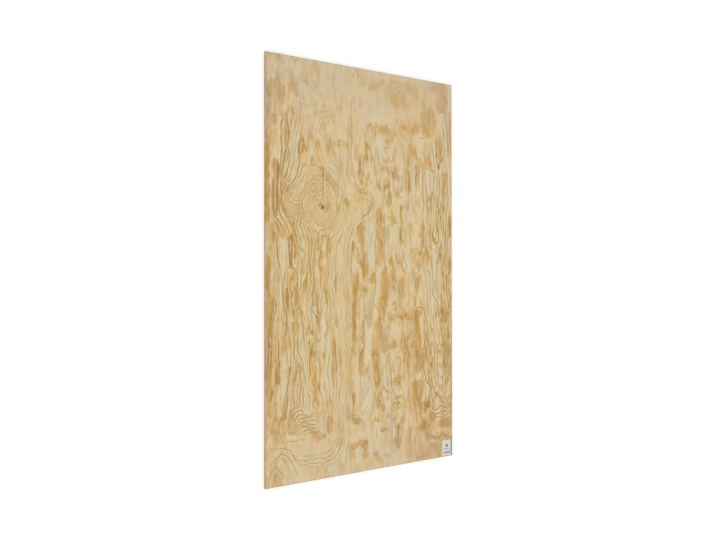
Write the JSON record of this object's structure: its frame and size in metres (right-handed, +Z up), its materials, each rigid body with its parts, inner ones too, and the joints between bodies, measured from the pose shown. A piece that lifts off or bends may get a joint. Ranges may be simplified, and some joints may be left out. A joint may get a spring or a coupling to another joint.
{
  "type": "plywood sheet",
  "caption": "Flat full-size sheet of softwood plywood with square sawn edges and a small paper stock label at a corner of its face.",
  "frame": {"origin": "middle of the underside of the sheet, which lies flat on the floor", "axes": "+Z up, out of the better face; Y along the length and X along the width; the label is in the +X, -Y corner of the upper face"},
  "size_m": [1.22, 2.44, 0.0182],
  "materials": {
    "pine_plywood": "lightly sanded rotary-cut pine veneer, unfinished",
    "label_paper": "matt white printed paper"
  },
  "bodies": {
    "root": {"plywood_sheet": "pine_plywood", "paper_label": "label_paper"}
  },
  "joints": []
}
